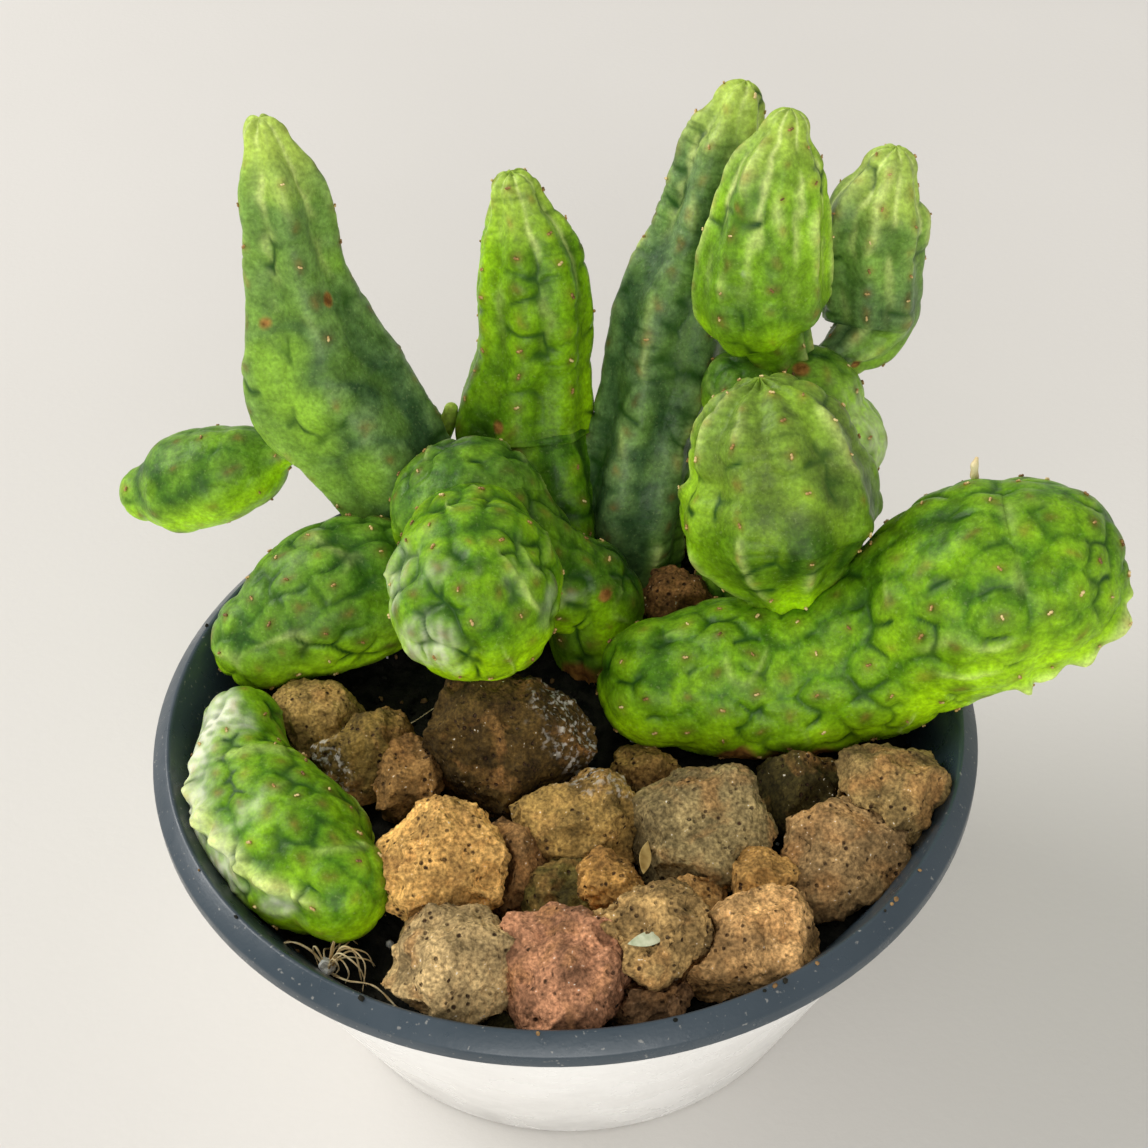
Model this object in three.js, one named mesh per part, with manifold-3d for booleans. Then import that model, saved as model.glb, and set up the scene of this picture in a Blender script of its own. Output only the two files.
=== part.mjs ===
// A euphorbia with thick, knobbly stems in a slate-grey grow pot, which hangs by its rim in a white
// cover pot. Lava stones dress the soil. Millimetres. The cover pot's flat underside is Z = 0, the
// pots' axis is X = Y = 0, and the front of the planting faces -Y.
import * as THREE from 'three';
import { mergeVertices } from 'three/addons/utils/BufferGeometryUtils.js';
import Module from 'manifold-3d';

// Pot sizes.
const potHeight = 55;
const rimRadius = 65;
const rimSlope = 2.5;
const rimFall = 2.3;
const rimHeight = 4.6;
const rimWall = 1.4;
const coverWall = 2.0;
const coverFloor = 2.4;
const coverBaseRadius = 43;
const growWall = 1.2;
const growFloor = 1.6;
const footSpace = 3;
const sideSpace = 3;
const drainHoles = 5;
const drainRadius = 3.5;
const drainCircle = 24;
const drainSides = 12;
const potSides = 48;

// Planting sizes. Stems, stones and flakes are given for a rim of planRadius and grow with the rim.
const soilBelowRim = 12;
const soilCrown = 1.2;
const planRadius = 65;
const stemSides = 10;
const stepsPerSpan = 2;
const capRings = 3;
const rootRadius = 0.45;
const knotRadius = 1;
const rootSides = 5;
const rootSteps = 9;
const gap = 0.35;

const soilTop = potHeight - soilBelowRim;
const bedScale = rimRadius / planRadius;

const wasm = await Module();
wasm.setup();

// Solids in and out of the boolean library.
function toSolid(geometry) {
  geometry.deleteAttribute('normal');
  geometry.deleteAttribute('uv');
  const merged = mergeVertices(geometry, 1e-4);
  return new wasm.Manifold(new wasm.Mesh({
    numProp: 3,
    vertProperties: new Float32Array(merged.attributes.position.array),
    triVerts: new Uint32Array(merged.index.array),
  }));
}

function toGeometry(solid) {
  const mesh = solid.getMesh();
  const geometry = new THREE.BufferGeometry();
  geometry.setAttribute('position', new THREE.BufferAttribute(mesh.vertProperties, 3));
  geometry.setIndex(new THREE.BufferAttribute(mesh.triVerts, 1));
  geometry.computeVertexNormals();
  return geometry;
}

// A cut can leave crumbs behind: the piece is the largest body that is left.
function largestBody(solid) {
  const bodies = solid.decompose();
  bodies.sort((a, b) => b.volume() - a.volume());
  return bodies[0];
}

function bedPoint(x, y, height) {
  return new THREE.Vector3(x * bedScale, y * bedScale, soilTop + height * bedScale);
}

const group = new THREE.Group();

function addPiece(name, look, solid) {
  const material = new THREE.MeshStandardMaterial({ metalness: 0, ...look });
  const mesh = new THREE.Mesh(toGeometry(solid), material);
  mesh.name = name;
  group.add(mesh);
}

// Pieces of the planting press on each other. Each new one is cut back by the grown copies of those
// before it, so that neighbours keep the gap.
const grownSoFar = [];

function addPlanting(name, look, solid, grown) {
  let body = solid;
  for (const earlier of grownSoFar) {
    body = body.subtract(earlier);
  }
  addPiece(name, look, largestBody(body));
  grownSoFar.push(grown);
}

function lathe(profile) {
  const points = profile.map(([radius, height]) => new THREE.Vector2(radius, height));
  const geometry = new THREE.LatheGeometry(points, potSides);
  geometry.rotateX(Math.PI / 2);
  return toSolid(geometry);
}

// Cover pot: white, tapered and plain, closed below, with a flat underside.
const coverLook = { color: 0xe9e9e4, roughness: 0.35 };
const coverTopRadius = rimRadius - rimWall - gap;
const ledgeHeight = potHeight - rimFall - rimWall;
const coverTop = ledgeHeight - gap;
const coverPot = lathe([
  [0, 0],
  [coverBaseRadius, 0],
  [coverTopRadius, coverTop],
  [coverTopRadius - coverWall, coverTop],
  [coverBaseRadius - coverWall, coverFloor],
  [0, coverFloor],
]);
addPiece('cover_pot', coverLook, coverPot);

// Grow pot: a thin tapered shell with a floor. Its rim slopes outward and turns down over the cover
// pot's edge. The grown copy is the same outline with every face moved out.
const growLook = { color: 0x4a555e, roughness: 0.42 };
const mouthRadius = rimRadius - rimSlope;
const neckRadius = coverTopRadius - coverWall - 2 * gap;
const neckHeight = potHeight - rimHeight;
const growBottom = coverFloor + footSpace;
const growFloorTop = growBottom + growFloor;
const growBaseRadius = coverBaseRadius - coverWall - sideSpace;

function growPotSolid(grow) {
  return lathe([
    [0, growBottom - grow],
    [growBaseRadius + grow, growBottom - grow],
    [neckRadius + grow, neckHeight],
    [neckRadius + grow, ledgeHeight - grow],
    [rimRadius - rimWall - grow, ledgeHeight - grow],
    [rimRadius - rimWall - grow, neckHeight - grow],
    [rimRadius + grow, neckHeight - grow],
    [rimRadius + grow, potHeight - rimFall + grow],
    [mouthRadius + grow, potHeight + grow],
    [mouthRadius - grow, potHeight + grow],
    [neckRadius - growWall - grow, neckHeight],
    [growBaseRadius - growWall - grow, growFloorTop + grow],
    [0, growFloorTop + grow],
  ]);
}

let growPot = growPotSolid(0);
for (let i = 0; i < drainHoles; i += 1) {
  const turn = (i / drainHoles) * 2 * Math.PI;
  const hole = new THREE.CylinderGeometry(drainRadius, drainRadius, 3 * growFloor, drainSides);
  hole.rotateX(Math.PI / 2);
  hole.translate(drainCircle * Math.cos(turn), drainCircle * Math.sin(turn), growBottom + growFloor / 2);
  growPot = growPot.subtract(toSolid(hole));
}
addPiece('grow_pot', growLook, growPot);
grownSoFar.push(growPotSolid(gap));

// Stems. A route point is x, y and height above the soil, then the stem's radius there. The solid is
// a sphere's mesh drawn out along the route, so both ends are round.
function stemSolid(route, grow) {
  const axis = new THREE.CatmullRomCurve3(route.map(([x, y, height]) => bedPoint(x, y, height)));
  axis.curveType = 'catmullrom';
  const girth = new THREE.SplineCurve(route.map((point, i) => new THREE.Vector2(i, point[3])));
  const bodyRings = (route.length - 1) * stepsPerSpan;
  const rings = bodyRings + 2 * capRings;
  const geometry = new THREE.SphereGeometry(1, stemSides, rings);
  const position = geometry.attributes.position;
  const across = new THREE.Vector3(1, 0, 0);
  for (let row = 0; row <= rings; row += 1) {
    const ring = row - capRings;
    const t = 1 - THREE.MathUtils.clamp(ring / bodyRings, 0, 1);
    const tangent = axis.getTangent(t);
    across.addScaledVector(tangent, -across.dot(tangent)).normalize();
    const side = new THREE.Vector3().crossVectors(across, tangent);
    const pastEnd = ring < 0 ? -ring : Math.min(bodyRings - ring, 0);
    const capAngle = (pastEnd / capRings) * (Math.PI / 2);
    const reach = girth.getPoint(t).y * bedScale + grow;
    const centre = axis.getPoint(t).addScaledVector(tangent, reach * Math.sin(capAngle));
    for (let column = 0; column <= stemSides; column += 1) {
      const turn = ((column % stemSides) / stemSides) * 2 * Math.PI;
      const spread = Math.abs(pastEnd) === capRings ? 0 : reach * Math.cos(capAngle);
      const point = centre.clone();
      point.addScaledVector(across, -spread * Math.cos(turn));
      point.addScaledVector(side, spread * Math.sin(turn));
      position.setXYZ(row * (stemSides + 1) + column, point.x, point.y, point.z);
    }
  }
  return toSolid(geometry);
}

function addStem(name, colour, ...routes) {
  let solid = stemSolid(routes[0], 0);
  let grown = stemSolid(routes[0], gap);
  for (const route of routes.slice(1)) {
    solid = solid.add(stemSolid(route, 0));
    grown = grown.add(stemSolid(route, gap));
  }
  addPlanting(name, { color: colour, roughness: 0.45 }, solid, grown);
}

// The front stem rises from the middle of the bed and arches back to a dome, from which a round head
// bends forward.
addStem('stem_front', 0x5f8f2c, [
  [7, 20, -8, 7],
  [6, 23, 4, 8],
  [5, 25, 12.5, 8.8],
  [-1, 24, 18, 8.8],
  [-12, 26, 27, 11.5],
], [
  [-12, 27, 18, 10],
  [-14, 28.5, 27.3, 13.2],
], [
  [-13.5, 17, 29, 11.5],
  [-13, 10.5, 29.5, 13.9],
  [-13, 5.5, 29.5, 13.3],
]);

// The low right stem lies on the bed, then climbs over the rim. Its round head stands on its back.
addStem('stem_right_low', 0x63932b, [
  [16, 4, 11, 10.6],
  [25, 4, 11, 13],
  [37, 4, 11.5, 13.6],
  [50, 4, 16.5, 14.2],
  [60, 4, 25, 16],
  [67, 3, 30, 16.6],
  [72, 2.5, 32, 15],
]);
addStem('stem_round_head', 0x4f7f2b, [
  [38, 9, 21, 6],
  [37, 12, 26, 10],
  [35.5, 15, 33, 15.4],
  [35, 17, 40, 15.2],
  [34.3, 18.5, 44, 13],
]);

// The centre stem leans back a little and tapers to a blunt tip.
addStem('stem_centre', 0x5a8a2d, [
  [2, 34, -8, 8],
  [0, 40, 6, 9],
  [-2.5, 48, 19, 10],
  [-4.7, 54, 25, 12.3],
  [-2.5, 57, 39, 9.8],
  [-2, 59, 51.5, 9.6],
  [-3, 61, 61, 7.2],
  [-4, 62, 67.3, 4],
]);

// The tall left stem leans out to the left, with a waist below its tapered top. A small round offset
// hangs from its outer side by a thin neck.
addStem('stem_left_tall', 0x56842f, [
  [-14, 34, -8, 8],
  [-19, 38, 8, 9],
  [-26, 43, 22, 10.5],
  [-32.5, 47, 33, 12.4],
  [-38, 50, 41.5, 13.6],
  [-40.5, 53, 56, 9.2],
  [-41, 54, 65, 7.4],
  [-41.5, 55, 75, 6.4],
  [-42.5, 56, 82.5, 3.6],
]);
addStem('stem_left_offset', 0x4d7a35, [
  [-38, 48, 29, 2.6],
  [-46, 50, 25.5, 2.3],
  [-51, 51, 23, 6.4],
  [-59, 52, 20, 9],
  [-67, 53, 17, 8.5],
  [-73, 54, 15, 5],
]);

// The tall right stem stands behind the others and leans right.
addStem('stem_right_tall', 0x558530, [
  [12, 40, -8, 8],
  [13, 45, 8, 9.2],
  [15.5, 50, 21, 10],
  [19.5, 56, 33, 10],
  [22.3, 61, 45, 10.2],
  [26.3, 64, 53.5, 9],
  [28.5, 66, 61, 8.2],
  [31, 68, 71, 7],
  [33, 69, 78, 4],
]);

// A stout stem at the back right carries two upright offsets.
addStem('stem_right_parent', 0x4d7b31, [
  [30, 32, -8, 8],
  [33, 35, 4, 9],
  [37, 37, 14, 10],
  [41.5, 40, 23.5, 12],
  [43.3, 43, 30, 13.6],
  [43, 45, 35, 10],
], [
  [39, 43, 29, 9],
  [33, 46, 37, 7.5],
]);
addStem('stem_right_upright', 0x679a33, [
  [41, 47, 39, 4],
  [37, 48, 48, 6.5],
  [35.5, 48, 52, 10.4],
  [35.5, 49, 58, 10.7],
  [36.5, 50, 69, 9.2],
  [37.5, 51, 77, 7.2],
  [38.5, 52, 82.5, 3.6],
]);
addStem('stem_right_outer', 0x5d8f38, [
  [48, 52, 38.5, 3.2],
  [53.5, 55, 40.5, 5.6],
  [55, 57, 43.5, 8.2],
  [55, 59, 51.5, 8.4],
  [55.5, 60, 62, 8.1],
  [57, 61, 69, 4.5],
]);

// A dark hump and a pale bud sit between the left and the centre stem.
addStem('stem_back_hump', 0x4b7430, [
  [-22, 50, 16, 6],
  [-23.5, 54, 21, 5.2],
  [-22.5, 56, 26.5, 3.6],
]);
addStem('stem_bud', 0xb9c94a, [
  [-20, 55.5, 22, 1.8],
  [-18.3, 56, 25.5, 1.6],
  [-17.3, 56, 29, 1.2],
]);

// Two low stems on the left: one leans on the rim, and one has fallen along the pot's wall.
addStem('stem_left_low', 0x5c8c2c, [
  [-20, 31, 8, 9],
  [-27, 29, 12, 11],
  [-35, 24, 16, 12.6],
  [-42, 20, 15, 11.6],
  [-49, 17, 12.5, 8.5],
]);
addStem('stem_fallen', 0x6fa036, [
  [-51, -1, 10.5, 6.5],
  [-50, -10, 9, 9],
  [-45.5, -19, 9, 10.8],
  [-38.5, -29, 9.5, 10.8],
  [-34, -34, 10, 8],
]);

// Lava stones. Each is a lump with seeded flats broken off it: x, y and height of its middle above
// the soil, then its half length, half width and half height, and its turn in degrees.
const stoneFlats = 11;
const nearestFlat = 0.76;
const flatSpread = 0.24;
const corner = 1.15;
const smallStone = 6.5;

function seededRandom(seed) {
  const modulus = 2147483647;
  let state = seed * 7919;
  return () => {
    state = (state * 48271) % modulus;
    return state / modulus;
  };
}

function stoneSolid(seed, [x, y, height, long, wide, tall, turn], grow) {
  const random = seededRandom(seed);
  const flats = [];
  for (let i = 0; i < stoneFlats; i += 1) {
    const normal = new THREE.Vector3(random() - 0.5, random() - 0.5, random() - 0.5).normalize();
    flats.push({ normal, depth: nearestFlat + flatSpread * random() });
  }
  const detail = long > smallStone ? 2 : 1;
  const geometry = new THREE.IcosahedronGeometry(1, detail);
  const position = geometry.attributes.position;
  const direction = new THREE.Vector3();
  for (let i = 0; i < position.count; i += 1) {
    direction.fromBufferAttribute(position, i).normalize();
    let reach = corner;
    for (const { normal, depth } of flats) {
      const facing = normal.dot(direction);
      reach = facing > 0 ? Math.min(reach, depth / facing) : reach;
    }
    position.setXYZ(
      i,
      direction.x * (reach * long * bedScale + grow),
      direction.y * (reach * wide * bedScale + grow),
      direction.z * (reach * tall * bedScale + grow),
    );
  }
  geometry.rotateZ(THREE.MathUtils.degToRad(turn));
  geometry.translate(...bedPoint(x, y, height).toArray());
  return toSolid(geometry);
}

const stones = [
  { colour: 0x6e4a33, size: [-41, 4.5, 5, 6.6, 6, 5.6, 0] },
  { colour: 0x6b5a3f, size: [-31.5, -4.5, 5.5, 7, 7, 6.4, 20] },
  { colour: 0x6a4930, size: [-24.5, -9.5, 5, 6.4, 6.4, 6, 50] },
  { colour: 0x54402e, size: [-9.5, -5.5, 8.5, 14, 10.5, 10.5, -8] },
  { colour: 0x7a6445, size: [2.5, -20.5, 6.5, 10.5, 7.5, 7, -6] },
  { colour: 0x6d5f42, size: [19, -24.5, 8, 10.5, 9, 8.5, -15] },
  { colour: 0x9a7546, size: [-18.5, -31, 11, 8.8, 8, 7.5, 5] },
  { colour: 0x7a5240, size: [-10, -28.5, 5.5, 6, 7.5, 6.5, 0] },
  { colour: 0x7b6a4c, size: [-17.5, -46.5, 7, 9, 9, 8.5, 0] },
  { colour: 0x86594a, size: [-1.5, -49, 8, 8.8, 9, 8.5, -30] },
  { colour: 0x4f4130, size: [-1, -35, 4, 6.5, 6.5, 5.5, 0] },
  { colour: 0x996b42, size: [5.5, -36, 8.5, 6.2, 5, 5, -20] },
  { colour: 0xa3835a, size: [11.5, -46, 11, 9.4, 7, 6.5, 0] },
  { colour: 0x84694a, size: [17.5, -36.5, 5.5, 6.5, 5, 4.5, 15] },
  { colour: 0x815a42, size: [28, -34.5, 7.5, 5, 4.6, 4.6, 0] },
  { colour: 0xa07a55, size: [26.5, -45.5, 6.5, 10.5, 7, 7, 30] },
  { colour: 0x83674a, size: [39, -30, 5.5, 10.5, 7, 7, 20] },
  { colour: 0x86684f, size: [48.5, -20, 8, 7.6, 8.5, 8, 0] },
  { colour: 0x4c3e2e, size: [36, -16, 4, 7.5, 6.5, 6, 0] },
  { colour: 0x6b5040, size: [9.5, -51.5, 4, 5.8, 4.6, 5.5, 0] },
  { colour: 0x5f452f, size: [19.5, 29, 4.5, 6.8, 6, 5, 10] },
  { colour: 0x6e4c37, size: [26, 20.5, 4, 6, 5, 5, 0] },
  { colour: 0x6f4a35, size: [11, -8.5, 3, 5.5, 4, 4, 0] },
  { colour: 0x554736, size: [-9, -53, 3, 4.5, 4, 4.5, 0] },
  { colour: 0x6f5a44, size: [44, 22, 4, 6.5, 6, 5.5, 40] },
  { colour: 0x6a5038, size: [-35, 42, 4, 5.5, 5, 5, 0] },
  { colour: 0x745d45, size: [-3, 54, 3.5, 4.6, 4.2, 4.5, 0] },
  { colour: 0x66513c, size: [24, 51, 3.5, 4.5, 4.2, 4.2, 25] },
];
stones.forEach(({ colour, size }, i) => {
  const name = `lava_stone_${String(i + 1).padStart(2, '0')}`;
  const look = { color: colour, roughness: 0.95 };
  addPlanting(name, look, stoneSolid(i + 1, size, 0), stoneSolid(i + 1, size, gap));
});

// Surface roots: a wiry tangle at the foot of the fallen stem. Every root leaves the same knot.
const rootKnot = [-36, -42.5, 1.2];
const rootRoutes = [
  [[-38, -41, 4], [-41, -39.5, 4.6], [-44.5, -38, 1.8]],
  [[-35, -43.5, 4.5], [-32, -42, 5], [-31, -44.5, 1.2]],
  [[-33, -45, 2.2], [-29, -46.5, 2.6], [-25.5, -49.5, 1]],
  [[-38, -43.5, 2.6], [-41, -42.5, 2.2], [-43.5, -40.5, 0.9]],
  [[-36.5, -40.5, 3.4], [-36, -38.5, 1.5]],
];
function rootSolid(points, grow) {
  const path = new THREE.CatmullRomCurve3([rootKnot, ...points].map((point) => bedPoint(...point)));
  const section = new THREE.Shape();
  for (let i = 0; i < rootSides; i += 1) {
    const turn = (i / rootSides) * 2 * Math.PI;
    const corner = [(rootRadius + grow) * Math.cos(turn), (rootRadius + grow) * Math.sin(turn)];
    section[i === 0 ? 'moveTo' : 'lineTo'](...corner);
  }
  const options = { steps: rootSteps, bevelEnabled: false, extrudePath: path };
  return toSolid(new THREE.ExtrudeGeometry(section, options));
}

function knotSolid(grow) {
  const knot = new THREE.IcosahedronGeometry(knotRadius + grow, 1);
  knot.translate(...bedPoint(...rootKnot).toArray());
  return toSolid(knot);
}

function rootTangle(grow) {
  return rootRoutes.reduce((tangle, points) => tangle.add(rootSolid(points, grow)), knotSolid(grow));
}
addPlanting('surface_roots', { color: 0xa08a5a, roughness: 0.8 }, rootTangle(0), rootTangle(gap));

// A pale seed husk and a dry leaf lie on the stones. A place holds x, y and height, then the half
// length, half width and half thickness, and the turn and tilt in degrees.
const flakeSides = 10;
const flakeRings = 6;
function flake(x, y, height, long, wide, thick, turn, tilt, grow) {
  const geometry = new THREE.SphereGeometry(1, flakeSides, flakeRings);
  geometry.scale(long * bedScale + grow, wide * bedScale + grow, thick * bedScale + grow);
  geometry.rotateX(THREE.MathUtils.degToRad(tilt));
  geometry.rotateZ(THREE.MathUtils.degToRad(turn));
  geometry.translate(...bedPoint(x, y, height).toArray());
  return toSolid(geometry);
}
const huskPlace = [10, -50.5, 15.5, 2.8, 1.1, 0.8, 10, 25];
const leafPlace = [10.8, -31.5, 10, 3.2, 1.1, 0.5, 80, 30];
const huskLook = { color: 0x9aa57a, roughness: 0.6 };
const leafLook = { color: 0xa99a63, roughness: 0.7 };
addPlanting('seed_husk', huskLook, flake(...huskPlace, 0), flake(...huskPlace, gap));
addPlanting('dry_leaf', leafLook, flake(...leafPlace, 0), flake(...leafPlace, gap));

// Soil: a plug that reaches half into the grow pot's shell, and is cut back to it and to whatever
// stands in it.
const soilPlug = lathe([
  [0, growFloorTop - growFloor / 2],
  [growBaseRadius - growWall / 2, growFloorTop - growFloor / 2],
  [neckRadius - growWall / 2, soilTop - soilCrown / 2],
  [neckRadius / 2, soilTop + soilCrown / 2],
  [0, soilTop + soilCrown],
]);
addPlanting('soil', { color: 0x23201c, roughness: 1 }, soilPlug, soilPlug);

export default group;
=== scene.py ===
import math

import bpy
import numpy as np
from mathutils import Matrix, Vector


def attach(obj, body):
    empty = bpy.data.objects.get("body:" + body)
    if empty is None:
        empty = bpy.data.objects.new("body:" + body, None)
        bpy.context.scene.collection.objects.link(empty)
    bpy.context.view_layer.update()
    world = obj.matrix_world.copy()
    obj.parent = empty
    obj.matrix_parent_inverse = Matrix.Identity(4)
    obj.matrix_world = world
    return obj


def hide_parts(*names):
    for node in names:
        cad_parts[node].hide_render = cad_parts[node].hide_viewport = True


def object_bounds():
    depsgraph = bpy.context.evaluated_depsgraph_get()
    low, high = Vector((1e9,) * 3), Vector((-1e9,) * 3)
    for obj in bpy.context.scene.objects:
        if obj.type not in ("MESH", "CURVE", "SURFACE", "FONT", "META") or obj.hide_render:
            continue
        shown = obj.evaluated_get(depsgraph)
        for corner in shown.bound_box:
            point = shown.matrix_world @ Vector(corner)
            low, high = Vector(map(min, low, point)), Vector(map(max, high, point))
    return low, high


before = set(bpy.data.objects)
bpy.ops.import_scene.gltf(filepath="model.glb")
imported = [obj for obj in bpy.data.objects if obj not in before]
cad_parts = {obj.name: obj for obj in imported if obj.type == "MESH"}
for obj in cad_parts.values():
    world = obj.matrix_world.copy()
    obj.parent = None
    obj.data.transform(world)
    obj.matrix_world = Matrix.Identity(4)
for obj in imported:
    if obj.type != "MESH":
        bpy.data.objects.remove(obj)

cad_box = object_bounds()

# ---------------------------------------------------------------- camera and light
# The planting is looked down on from the front, over the near rim. Broad soft daylight comes from
# behind on the left, with a pale room all round.
camera_data = bpy.data.cameras.new("view_camera")
camera_data.sensor_width = 36
camera_data.lens = 59.17
camera = bpy.data.objects.new("view_camera", camera_data)
bpy.context.collection.objects.link(camera)
tilt, roll, swing = 48.64, 1.65, -2.11
camera.rotation_euler = [math.radians(angle) for angle in (tilt, roll, swing)]
camera.location = (0, -0.2116, 0.2677)
bpy.context.scene.camera = camera
bpy.context.scene.view_settings.view_transform = "Standard"


def soft_box(name, place, target, size, power, colour):
    bpy.ops.object.light_add(type="AREA", location=place)
    lamp = bpy.context.object
    lamp.name = name
    lamp.rotation_euler = (Vector(target) - Vector(place)).to_track_quat("-Z", "Y").to_euler()
    lamp.data.size = size
    lamp.data.energy = power
    lamp.data.color = colour


soft_box("window_light", (-1.7, 0.7, 1.45), (0, 0, 0.05), 1.5, 42, (1.0, 0.985, 0.96))
soft_box("front_fill", (-0.1, -1.8, 0.55), (0, 0, 0.05), 1.4, 24, (1.0, 0.99, 0.97))
room = bpy.data.worlds.new("pale_room")
room.use_nodes = True
room.node_tree.nodes["Background"].inputs["Color"].default_value = (1.0, 0.985, 0.955, 1)
room.node_tree.nodes["Background"].inputs["Strength"].default_value = 0.60
bpy.context.scene.world = room

# ---------------------------------------------------------------- floor
# A plain pale table top, matt, with a faint unevenness in its paint.


def new_material(name, roughness, specular=0.5):
    material = bpy.data.materials.new(name)
    material.use_nodes = True
    shader = material.node_tree.nodes["Principled BSDF"]
    shader.inputs["Roughness"].default_value = roughness
    shader.inputs["Specular IOR Level"].default_value = specular
    return material, material.node_tree, shader


def place_of(tree):
    return tree.nodes.new("ShaderNodeTexCoord").outputs["Object"]


def grain(tree, place, scale, detail=3.0, distortion=0.0):
    node = tree.nodes.new("ShaderNodeTexNoise")
    node.inputs["Scale"].default_value = scale
    node.inputs["Detail"].default_value = detail
    node.inputs["Distortion"].default_value = distortion
    tree.links.new(place, node.inputs["Vector"])
    return node.outputs["Fac"]


def steps(tree, value, *stops):
    node = tree.nodes.new("ShaderNodeValToRGB")
    while len(node.color_ramp.elements) < len(stops):
        node.color_ramp.elements.new(0.5)
    for element, (position, colour) in zip(node.color_ramp.elements, stops):
        element.position = position
        grey = isinstance(colour, (int, float))
        element.color = (colour, colour, colour, 1) if grey else (*colour, 1)
    tree.links.new(value, node.inputs["Fac"])
    return node.outputs["Color"]


def over(tree, amount, under, on_top, way="MIX"):
    node = tree.nodes.new("ShaderNodeMix")
    node.data_type = "RGBA"
    node.blend_type = way
    for socket, value in ((0, amount), (6, under), (7, on_top)):
        if isinstance(value, (int, float)):
            node.inputs[socket].default_value = value
        elif isinstance(value, tuple):
            node.inputs[socket].default_value = (*value, 1)
        else:
            tree.links.new(value, node.inputs[socket])
    return node.outputs[2]


def raised(tree, height, distance, below=None, strength=1.0):
    node = tree.nodes.new("ShaderNodeBump")
    node.inputs["Strength"].default_value = strength
    node.inputs["Distance"].default_value = distance
    tree.links.new(height, node.inputs["Height"])
    if below is not None:
        tree.links.new(below, node.inputs["Normal"])
    return node.outputs["Normal"]


def select_only(thing):
    bpy.ops.object.select_all(action="DESELECT")
    thing.select_set(True)
    bpy.context.view_layer.objects.active = thing


floor_paint, tree, shader = new_material("table_paint", 0.85, 0.2)
place = place_of(tree)
paint = steps(tree, grain(tree, place, 9), (0.3, (0.655, 0.635, 0.605)), (0.7, (0.67, 0.65, 0.62)))
tree.links.new(paint, shader.inputs["Base Color"])
tree.links.new(raised(tree, grain(tree, place, 700), 0.00005), shader.inputs["Normal"])
bpy.ops.object.select_all(action="DESELECT")
bpy.ops.mesh.primitive_grid_add(x_subdivisions=8, y_subdivisions=8, size=6, location=(0, 0, -0.0001))
floor = bpy.context.object
floor.name = "table_top"
floor.data.materials.append(floor_paint)

# ---------------------------------------------------------------- cover pot
# A white glazed cover pot, thrown as one tapered wall on a flat foot. The grow pot hangs in it by its
# rim, so only a little of it shows.


def settle(piece, name, node, slot, *materials):
    """Gives a finished piece its name, finish and place in the frame."""
    select_only(piece)
    bpy.ops.object.transform_apply(location=True, rotation=True, scale=True)
    piece.name = name
    piece.data.name = name
    for material in materials:
        piece.data.materials.append(material)
    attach(piece, "root")
    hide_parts(node)


def turned(profile, sides):
    """A closed pot raised from a circle: each ring is pulled out of the last and set to its radius."""
    bpy.ops.object.select_all(action="DESELECT")
    radius, height = profile[0]
    bpy.ops.mesh.primitive_circle_add(
        vertices=sides, radius=radius, fill_type="NGON", location=(0, 0, height))
    bpy.ops.object.mode_set(mode="EDIT")
    bpy.ops.mesh.select_all(action="SELECT")
    for next_radius, next_height in profile[1:]:
        bpy.ops.mesh.extrude_region_move(
            TRANSFORM_OT_translate={"value": (0, 0, next_height - height)})
        share = next_radius / radius
        bpy.ops.transform.resize(value=(share, share, 1), center_override=(0, 0, next_height))
        radius, height = next_radius, next_height
    bpy.ops.mesh.select_all(action="SELECT")
    bpy.ops.mesh.normals_make_consistent(inside=False)
    bpy.ops.object.mode_set(mode="OBJECT")
    return bpy.context.object


def soften(piece, width, segments, angle=30):
    """Rounds a piece's edges and shades the rest smooth."""
    select_only(piece)
    bpy.ops.object.modifier_add(type="BEVEL")
    rounding = piece.modifiers[-1]
    rounding.width = width
    rounding.segments = segments
    rounding.angle_limit = math.radians(angle)
    rounding.use_clamp_overlap = True
    bpy.ops.object.modifier_apply(modifier=rounding.name)
    bpy.ops.object.shade_smooth_by_angle(angle=math.radians(40))


glaze, tree, shader = new_material("white_glaze", 0.22, 0.5)
place = place_of(tree)
cloud = steps(tree, grain(tree, place, 60), (0.35, (0.80, 0.79, 0.765)), (0.65, (0.86, 0.855, 0.835)))
speck = steps(tree, grain(tree, place, 900, 1), (0.79, 0.0), (0.83, 0.8))
tree.links.new(over(tree, speck, cloud, (0.30, 0.27, 0.22)), shader.inputs["Base Color"])
tree.links.new(steps(tree, grain(tree, place, 120), (0.3, 0.18), (0.7, 0.32)), shader.inputs["Roughness"])
tree.links.new(raised(tree, grain(tree, place, 260), 0.00006), shader.inputs["Normal"])
shader.inputs["Coat Weight"].default_value = 0.3

cover_pot = turned([
    (0.0430, 0.0), (0.06325, 0.05095), (0.06125, 0.05095), (0.0410, 0.0024),
], 128)
soften(cover_pot, 0.0007, 3)
settle(cover_pot, "glazed_cover_pot", "cover_pot", "cover_pot", glaze)

# ---------------------------------------------------------------- grow pot
# A thin slate-grey plastic pot, moulded in one with a sloping rolled rim and five drain holes. It is
# one satin finish all over, with dust caught on it.
slate, tree, shader = new_material("slate_plastic", 0.4, 0.5)
place = place_of(tree)
tone = steps(tree, grain(tree, place, 45), (0.3, (0.026, 0.042, 0.056)), (0.7, (0.040, 0.058, 0.075)))
dust = steps(tree, grain(tree, place, 1300, 2), (0.67, 0.0), (0.75, 0.5))
tree.links.new(over(tree, dust, tone, (0.34, 0.33, 0.30)), shader.inputs["Base Color"])
scuffs = steps(tree, grain(tree, place, 260, 5), (0.3, 0.24), (0.7, 0.42))
tree.links.new(scuffs, shader.inputs["Roughness"])
tree.links.new(raised(tree, grain(tree, place, 1600), 0.00003), shader.inputs["Normal"])

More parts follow.
